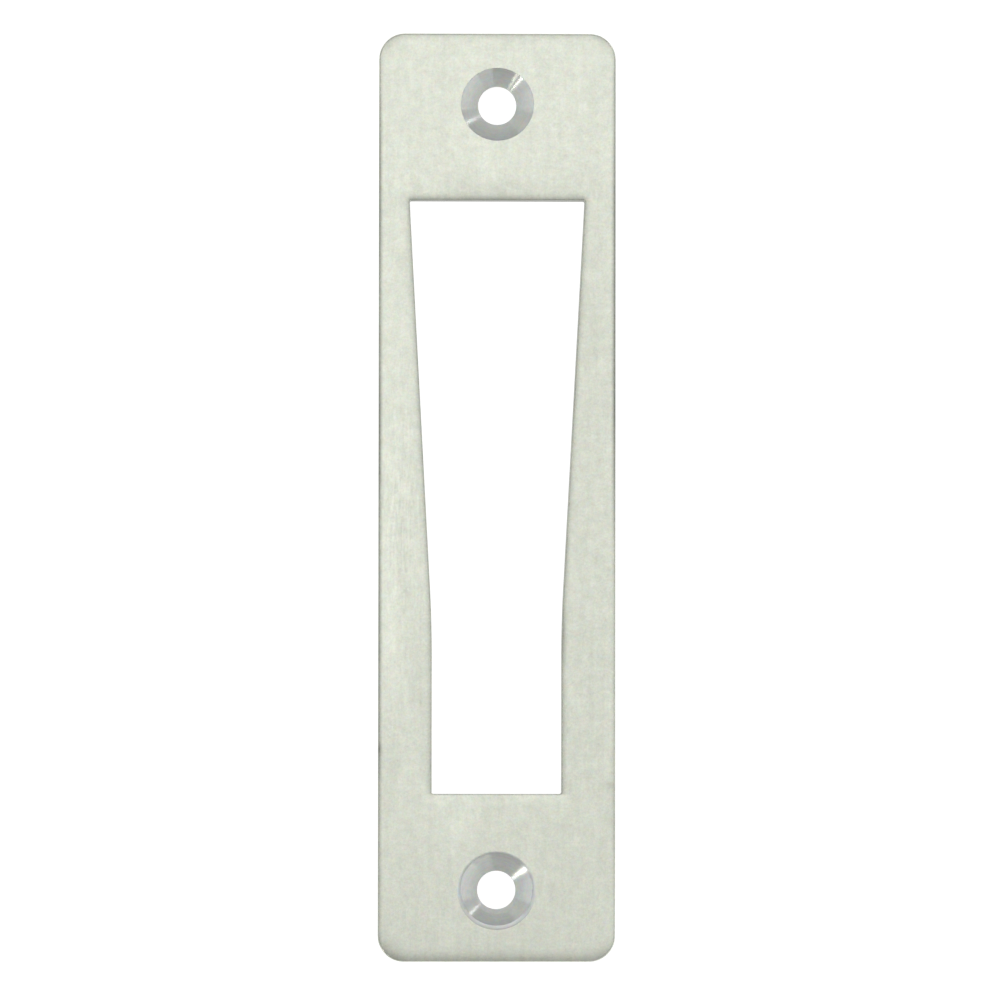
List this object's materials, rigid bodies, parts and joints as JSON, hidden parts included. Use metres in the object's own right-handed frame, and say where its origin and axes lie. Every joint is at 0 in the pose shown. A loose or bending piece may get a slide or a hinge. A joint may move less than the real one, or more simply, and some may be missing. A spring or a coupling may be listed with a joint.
{
  "type": "door strike plate",
  "caption": "Flat door strike plate with round corners, a tapered window for latch and bolt, and countersunk screw holes.",
  "frame": {"origin": "middle of the back face, the plate lying on its back", "axes": "+Z out of the back face to the front face; +Y along the plate, from the window's narrow foot to its wide head; +X across the plate"},
  "size_m": [0.0316, 0.1238, 0.003],
  "materials": {
    "satin_steel": "satin, tumbled stainless steel with a faint lengthwise grain"
  },
  "bodies": {
    "root": {"strike_plate": "satin_steel"}
  },
  "joints": []
}
